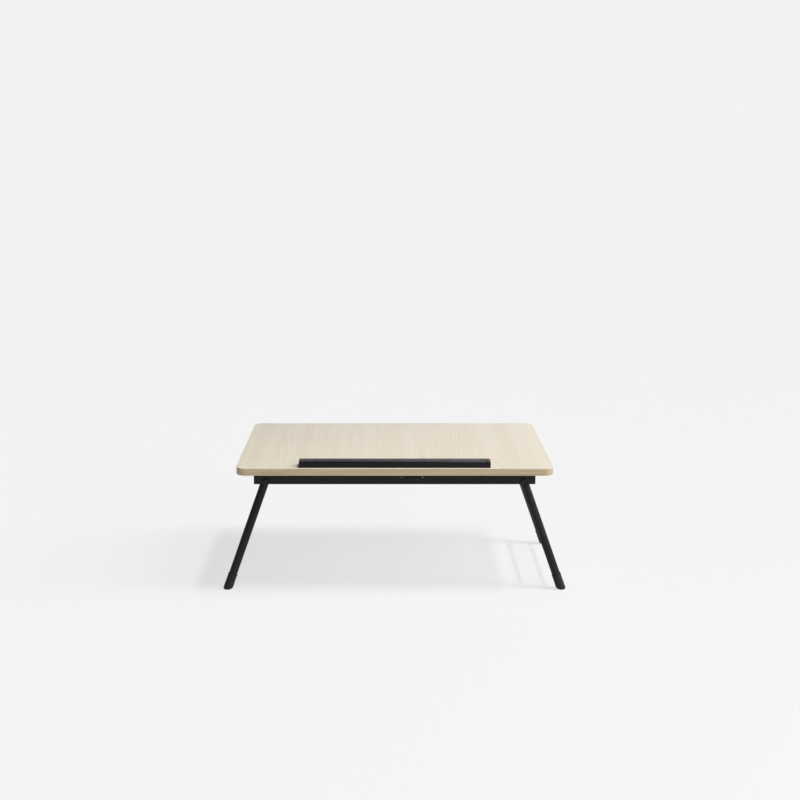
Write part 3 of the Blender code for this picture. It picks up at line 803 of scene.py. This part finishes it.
def leg(side, end):
    """A rod with its upper end hollowed to a tube's wall and rounded rim, and its rubber foot."""
    node = f"{end}_{side}_leg"
    below = LEG_PIVOT.z / math.cos(LEAN)
    start, down = leg_place(side, end, below - FOOT_SOLE)
    length = LEG_ABOVE_PIVOT + below - FOOT_SOLE
    rim = TUBE_WALL / 2
    profile = [(0, 0.0), (TUBE_RADIUS - 0.0006, 0.0), (TUBE_RADIUS, 0.0006)]
    for i in range(9):
        t = math.pi * i / 8
        profile.append((TUBE_RADIUS - rim + rim * math.cos(t), length - rim + rim * math.sin(t)))
    bottom = length - TUBE_OPEN_DEPTH
    profile += [(TUBE_RADIUS - TUBE_WALL, bottom), (0, bottom)]
    add_piece(f"{end}_{side}_leg_tube", turned(profile, start, -down, 72), node)
    foot(side, end)


def foot(side, end):
    """A rubber cup with a lip at its mouth, its round-edged sole level with the floor."""
    floor_point, down = leg_place(side, end, LEG_PIVOT.z / math.cos(LEAN))
    mouth, lip, body, sole_round = FOOT_MOUTH, FOOT_LIP, FOOT_LIP - 0.0003, FOOT_SOLE_ROUND
    inner = TUBE_RADIUS + 0.0001
    out = Vector((0, 1, 0)).cross(-down)
    segments = 72

    def ring(radius, height):
        centre, back = floor_point - down * height, Vector((0, 1, 0))
        steps = (2 * math.pi * i / segments for i in range(segments))
        return [centre + (out * math.cos(a) + back * math.sin(a)) * radius for a in steps]

    def level_ring(radius, z):
        """A slanting ring whose points all stand at height z."""
        points = []
        for point in ring(radius, 0):
            points.append(point + down * (point.z - z) / math.cos(LEAN))
        return points

    rings = [ring(inner, mouth - 0.006), ring(inner, mouth - 0.0002)]
    for i in range(7):
        t = math.pi * i / 6
        middle, half = (inner + lip) / 2, (lip - inner) / 2
        rings.append(ring(middle - half * math.cos(t), mouth - half + half * math.sin(t)))
    rings += [ring(lip, mouth - 0.0018), ring(lip - 0.0001, mouth - 0.0022)]
    rings += [ring(body - 0.0002, mouth - 0.0028), ring(body - 0.0002, mouth - 0.0034)]
    rings += [ring(body, 0.012), level_ring(body, sole_round)]
    for i in range(1, 9):
        t = math.pi / 2 * i / 8
        inset_by = sole_round * (1 - math.cos(t))
        rings.append(level_ring(body - inset_by, sole_round * (1 - math.sin(t))))
    add_piece(f"{end}_{side}_rubber_foot", loft(rings), f"{end}_{side}_foot")


def crossbar(side, level):
    """A bar between two legs, with a weld where it meets each of them."""
    node = f"{side}_{level}_crossbar"
    low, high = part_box(node)
    centre = (low + high) / 2
    radius = (high.x - low.x) / 2
    leg_low, leg_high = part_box(f"rear_{side}_leg")
    leg_y = (leg_low.y + leg_high.y) / 2
    end_y = leg_y - TUBE_RADIUS + 0.0008
    start = Vector((centre.x, -end_y, centre.z))
    profile = [(0, 0.0), (radius, 0.0), (radius, 2 * end_y), (0, 2 * end_y)]
    add_piece(f"{side}_{level}_cross_rod", turned(profile, start, (0, 1, 0), 48), node)
    down = Vector((SIDES[side] * math.sin(LEAN), 0, -math.cos(LEAN)))
    out = Vector((0, 1, 0)).cross(down)
    for end, sign in ENDS.items():
        path = []
        for i in range(72):
            t = 2 * math.pi * i / 72
            y = leg_y - math.sqrt(TUBE_RADIUS**2 - (radius * math.cos(t)) ** 2)
            around = (out * math.cos(t) + down * math.sin(t)) * (radius + 0.0003)
            path.append(Vector((centre.x, sign * y, centre.z)) + around)
        weld(f"{side}_{level}_weld_{end}", path, 0.0011, node, 18)


# ---------------------------------------------------------------- hinges, prop and screws


def knuckle(start, end):
    """A rolled barrel along X."""
    rings = []
    for x, d in rounded_ends(start, end, 0.00025, 0.00025):
        steps = (2 * math.pi * i / 40 for i in range(40))
        size = KNUCKLE_RADIUS - d
        ring = [(x, HINGE.y + size * math.cos(a), HINGE.z + size * math.sin(a)) for a in steps]
        rings.append(ring)
    return loft(rings)


def hinge(side):
    """A butt hinge: two leaves with rounded corners, their barrels and the pin."""
    clear, half_knuckle = KNUCKLE_CLEAR, MIDDLE_KNUCKLE / 2
    low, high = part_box(f"{side}_hinge_rail_leaf")
    middle, half = (low.x + high.x) / 2, (high.x - low.x) / 2
    inner = [(middle - half_knuckle, middle + half_knuckle)]
    outer = [(middle - half, middle - half_knuckle - clear)]
    outer.append((middle + half_knuckle + clear, middle + half))
    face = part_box("front_rail")[0].y - GAP
    outline = leaf_outline(middle, half, HINGE.z, low.z)
    plate = extrusion(outline, face - LEAF, face, 0.0002, along_y)
    fixed = leaf(plate, inner, outer, clear)
    add_piece(f"{side}_rail_leaf", fixed, f"{side}_hinge_rail_leaf", smooth=35)
    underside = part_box("top_board")[0].z - GAP
    outline = leaf_outline(middle, half, HINGE.y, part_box(f"{side}_hinge_top_leaf")[0].y)
    plate = extrusion(outline, underside - LEAF, underside, 0.0002, along_z)
    moving = leaf(plate, outer, inner, clear)
    add_piece(f"{side}_top_leaf", moving, f"{side}_hinge_top_leaf", smooth=35)
    low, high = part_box(f"{side}_hinge_pin")
    length, radius, ease = high.x - low.x, (high.z - low.z) / 2, 0.0002
    profile = [(0, 0), (radius - ease, 0), (radius, ease), (radius, length - ease)]
    profile += [(radius - ease, length), (0, length)]
    start = (low.x, HINGE.y, HINGE.z)
    add_piece(f"{side}_hinge_wire_pin", turned(profile, start, (1, 0, 0), 24), f"{side}_hinge_pin")


def leaf(plate, own, others, clear):
    """A plate cleared where the other leaf's barrels turn, joined with its own barrels."""
    reach = KNUCKLE_RADIUS + clear
    cuts = []
    for start, end in others:
        cut_low = (start - clear, HINGE.y - reach, HINGE.z - reach)
        cuts.append(box(cut_low, (end + clear, HINGE.y + reach, HINGE.z + reach)))
    plate = combined(plate, cuts, "DIFFERENCE")
    return combined(plate, [knuckle(start, end) for start, end in own], "UNION")


def leaf_outline(middle, half, near, far):
    """A plate's outline: square at the barrels, rounded at its free corners."""
    away = 1 if far > near else -1
    x, y, corner = half - LEAF_CORNER, far - away * LEAF_CORNER, LEAF_CORNER
    points = [(middle - half, near), (middle + half, near)]
    points += arc((middle + x, y), corner, 0, away * 90, 8)
    return points + arc((middle - x, y), corner, away * 90, away * 180, 8)


def rivet(node):
    """A domed rivet through the leaf and the web."""
    low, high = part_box(node)
    x, z = (low.x + high.x) / 2, (low.z + high.z) / 2
    radius, length = (high.x - low.x) / 2, high.y - low.y
    tall, tail = 0.0011, 0.0007
    profile = [(0.0, tall)]
    for i in range(1, 9):
        t = math.pi / 2 * i / 8
        profile.append((radius * math.sin(t), tall * math.cos(t)))
    grip = length - tall - tail
    profile += [(0.0012, 0.0), (0.0012, -grip), (0.0022, -grip), (0.0021, -grip - 0.0004)]
    profile += [(0.0016, -grip - tail), (0.0, -grip - tail)]
    start = (x, low.y + tall, z)
    add_piece(f"{node}_dome", turned(profile, start, (0, -1, 0), 32), node)


def cross_screw(node, head, shank):
    """A pan-head screw seen from beneath, with a cross recess and a threaded shank."""
    low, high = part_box(node)
    x, y = (low.x + high.x) / 2, (low.y + high.y) / 2
    tall = head * 0.5
    seat, length = low.z + tall, high.z - low.z - tall
    profile = [(0.0, tall)]
    for i in range(1, 11):
        t = math.pi / 2 * i / 10
        profile.append((head * math.sin(t) ** 0.8, tall * (0.12 + 0.88 * math.cos(t))))
    profile += [(head, 0.00012), (head - 0.0001, 0.0), (shank, 0.0)]
    turns = 9
    for i in range(2 * turns):
        deep = -(i + 0.5) * (length - 0.001) / (2 * turns)
        profile.append((shank if i % 2 else shank * 0.8, deep))
    profile += [(shank * 0.6, -length + 0.0004), (0.0, -length)]
    start = Vector((x, y, seat))
    body = turned(profile, start, (0, 0, -1), 32)
    reach, narrow = head * 0.56, head * 0.13
    recess = []
    for wide, deep in ((reach, narrow), (narrow, reach)):
        slot_low = start + Vector((-wide, -deep, -tall * 2))
        recess.append(box(slot_low, start + Vector((wide, deep, -tall * 0.35))))
    add_piece(f"{node}_cross_head", combined(body, recess, "DIFFERENCE"), node, smooth=30)


def rack(side):
    """The notched nylon strip, its edges eased."""
    node = f"{side}_prop_rack"
    low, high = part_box(node)
    reach, drop = PROP.y - HINGE.y + PROP_ARM, HINGE.z - PROP.z
    outline = [(low.y, low.z), (low.y, high.z), (high.y, high.z), (high.y, low.z)]
    for tilt in RACK_TILTS:
        turn = math.radians(tilt)
        y = HINGE.y + reach * math.cos(turn) - drop * math.sin(turn)
        outline += arc((y, low.z), RACK_NOTCH, 0, 180, 14)
    body = extrusion(outline, low.x, high.x, 0.0003, along_x)
    add_piece(f"{side}_notched_rack", body, node, smooth=30)


def prop_wire():
    """The bent wire: a U whose ends turn in the cross tubes."""
    low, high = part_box("prop_wire")
    radius = (high.z - low.z) / 2
    half, arm = PROP_HALF_WIDTH, high.y - radius - PROP.y
    corners = [(low.x + 0.0004, 0), (-half, 0), (-half, arm)]
    corners += [(-x, y) for x, y in reversed(corners)]
    path = filleted([(x, PROP.y + y, PROP.z) for x, y in corners], PROP_BEND, 12)
    add_piece("prop_wire_bail", tube_along(path, radius, 32), "prop_wire")


# ---------------------------------------------------------------- build


def build():
    table_surface()
    edge_strip()
    ledge()
    frame["nodes"]["top_board"].data.materials.clear()
    frame["nodes"]["top_board"].data.materials.append(MATERIALS["board_core"])
    for end in ENDS:
        rail(end)
        leg_clip(end)
    for side in SIDES:
        cross_tube(side)
        for end in ENDS:
            pivot_hardware(side, end)
            leg(side, end)
        for level in ("lower", "upper"):
            crossbar(side, level)
        hinge(side)
        rack(side)
        for number in (1, 2):
            rivet(f"{side}_hinge_rivet_{number}")
            cross_screw(f"{side}_hinge_screw_{number}", SCREW_HEAD, SCREW_SHANK)
            cross_screw(f"{side}_rack_screw_{number}", SCREW_HEAD, SCREW_SHANK)
    for number in (1, 2):
        cross_screw(f"ledge_screw_{number}", LEDGE_SCREW_HEAD, LEDGE_SCREW_SHANK)
    prop_wire()


# ---------------------------------------------------------------- studio

# The ground behind the object as the camera sees it, and the floor's two shares of its light
PALE = 0.894
FLOOR_SIZE = 30
FLOOR_DIFFUSE = 0.165
FLOOR_GLOW = 0.675

# The world's light: strength by height, and what multiplies it from left to right
HORIZON, ZENITH = 0.70, 0.26
DARK_SIDE, BRIGHT_SIDE = 0.30, 1.60

# The key: slope to the right, share of the floor's light, degrees across each sun, and the
# slopes to the front between which its suns stand
KEY_SLOPE, KEY_SHARE, KEY_WIDTH = 0.36, 0.58, 5
KEY_FRONT = (0.02, 0.38)
KEY_SUNS = 6

# Each fill: slope to the right, slope to the front, share of the floor's light, degrees across
FILLS = ((0.7, 0.25, 0.16, 12), (1.1, 0.3, 0.15, 14), (2.0, 0.1, 0.16, 18))

SIDE_BOX_PLACE, SIDE_BOX_TARGET = (1.5, -1.6, 1.1), (0, 0, 0.2)
SIDE_BOX_SIZE, SIDE_BOX_POWER = 1.0, 11

CAMERA_PLACE = (-0.015, -2.655, 0.8805)
CAMERA_DOWN = 11.35
CAMERA_SENSOR, CAMERA_LENS, CAMERA_SHIFT = 36, 60.5, 0.0165


def floor():
    """A pale sweep, partly glowing so that shadows stay light, and not there from beneath."""
    bm = bmesh.new()
    bmesh.ops.create_grid(bm, x_segments=1, y_segments=1, size=FLOOR_SIZE)
    mesh = mesh_of(bm)
    made = bpy.data.objects.new("studio_floor", mesh)
    bpy.context.scene.collection.objects.link(made)
    material = bpy.data.materials.new("studio_floor")
    material.use_nodes = True
    shader = material.node_tree.nodes["Principled BSDF"]
    shader.inputs["Base Color"].default_value = (FLOOR_DIFFUSE,) * 3 + (1,)
    shader.inputs["Roughness"].default_value = 1.0
    shader.inputs["Specular IOR Level"].default_value = 0.0
    shader.inputs["Emission Color"].default_value = (1, 1, 1, 1)
    shader.inputs["Emission Strength"].default_value = FLOOR_GLOW
    tree = material.node_tree
    clear = tree.nodes.new("ShaderNodeBsdfTransparent").outputs[0]
    beneath = tree.nodes.new("ShaderNodeNewGeometry").outputs["Backfacing"]
    mix = tree.nodes.new("ShaderNodeMixShader")
    for socket, value in ((0, beneath), (1, shader.outputs[0]), (2, clear)):
        tree.links.new(value, mix.inputs[socket])
    tree.links.new(mix.outputs[0], tree.nodes["Material Output"].inputs["Surface"])
    mesh.materials.append(material)


def world():
    """A studio brighter towards the right, dim at both ends; the camera sees an even ground."""
    made = bpy.data.worlds.new("studio")
    bpy.context.scene.world = made
    made.use_nodes = True
    tree = made.node_tree

    def node(kind, inputs, **settings):
        new = tree.nodes.new(kind)
        for key, value in settings.items():
            setattr(new, key, value)
        for key, value in inputs.items():
            if isinstance(value, bpy.types.NodeSocket):
                tree.links.new(value, new.inputs[key])
            else:
                new.inputs[key].default_value = value
        return new.outputs[0]

    def ramp(value, low, high, to_low, to_high):
        inputs = {"Value": value, "From Min": low, "From Max": high}
        inputs.update({"To Min": to_low, "To Max": to_high})
        return node("ShaderNodeMapRange", inputs, interpolation_type="SMOOTHSTEP")

    direction = tree.nodes.new("ShaderNodeTexCoord").outputs["Generated"]
    parts = tree.nodes.new("ShaderNodeSeparateXYZ")
    tree.links.new(direction, parts.inputs[0])
    across, up = parts.outputs["X"], parts.outputs["Z"]
    height = ramp(up, 0.10, 0.70, HORIZON, ZENITH)
    rising = ramp(across, -0.35, 0.35, DARK_SIDE, BRIGHT_SIDE)
    falling = ramp(across, 0.45, 0.85, 1.0, DARK_SIDE)
    strength = node("ShaderNodeMath", {0: height, 1: rising}, operation="MULTIPLY")
    strength = node("ShaderNodeMath", {0: strength, 1: falling}, operation="MULTIPLY")
    light = node("ShaderNodeBackground", {"Color": (1, 1, 1, 1), "Strength": strength})
    ground = node("ShaderNodeBackground", {"Color": (1, 1, 1, 1), "Strength": PALE})
    seen = tree.nodes.new("ShaderNodeLightPath").outputs["Is Camera Ray"]
    mixed = node("ShaderNodeMixShader", {0: seen, 1: light, 2: ground})
    tree.links.new(mixed, tree.nodes["World Output"].inputs["Surface"])


def sun(name, right, front, share, angle):
    """A soft sun whose share is the brightness that it gives a white floor."""
    direction = Vector((right, -front, 1))
    data = bpy.data.lights.new(name, "SUN")
    data.energy = math.pi * share * direction.length
    data.angle = math.radians(angle)
    made = bpy.data.objects.new(name, data)
    made.rotation_euler = direction.to_track_quat("Z", "Y").to_euler()
    bpy.context.scene.collection.objects.link(made)


def panel(name, place, target, size, power):
    """A square soft box that faces a point."""
    data = bpy.data.lights.new(name, "AREA")
    data.energy = power
    data.size = size
    made = bpy.data.objects.new(name, data)
    made.location = place
    made.rotation_euler = (Vector(place) - Vector(target)).to_track_quat("Z", "Y").to_euler()
    made.visible_camera = False
    bpy.context.scene.collection.objects.link(made)


def lights():
    """A long soft box high on the right as a fan of suns, lower fills, and a soft box at the
    front right."""
    near, far = KEY_FRONT
    for i in range(KEY_SUNS):
        front = near + (far - near) * (i + 0.5) / KEY_SUNS
        sun(f"key_{i}", KEY_SLOPE, front, KEY_SHARE / KEY_SUNS, KEY_WIDTH)
    for i, (right, front, share, angle) in enumerate(FILLS):
        sun(f"fill_{i}", right, front, share, angle)
    panel("side_box", SIDE_BOX_PLACE, SIDE_BOX_TARGET, SIDE_BOX_SIZE, SIDE_BOX_POWER)


def camera():
    data = bpy.data.cameras.new("camera")
    data.sensor_width = CAMERA_SENSOR
    data.lens = CAMERA_LENS
    data.shift_x = CAMERA_SHIFT
    made = bpy.data.objects.new("camera", data)
    made.location = CAMERA_PLACE
    made.rotation_euler = (math.radians(90 - CAMERA_DOWN), 0, 0)
    bpy.context.scene.collection.objects.link(made)
    bpy.context.scene.camera = made


build()
floor()
world()
lights()
camera()
bpy.context.scene.view_settings.view_transform = "Standard"
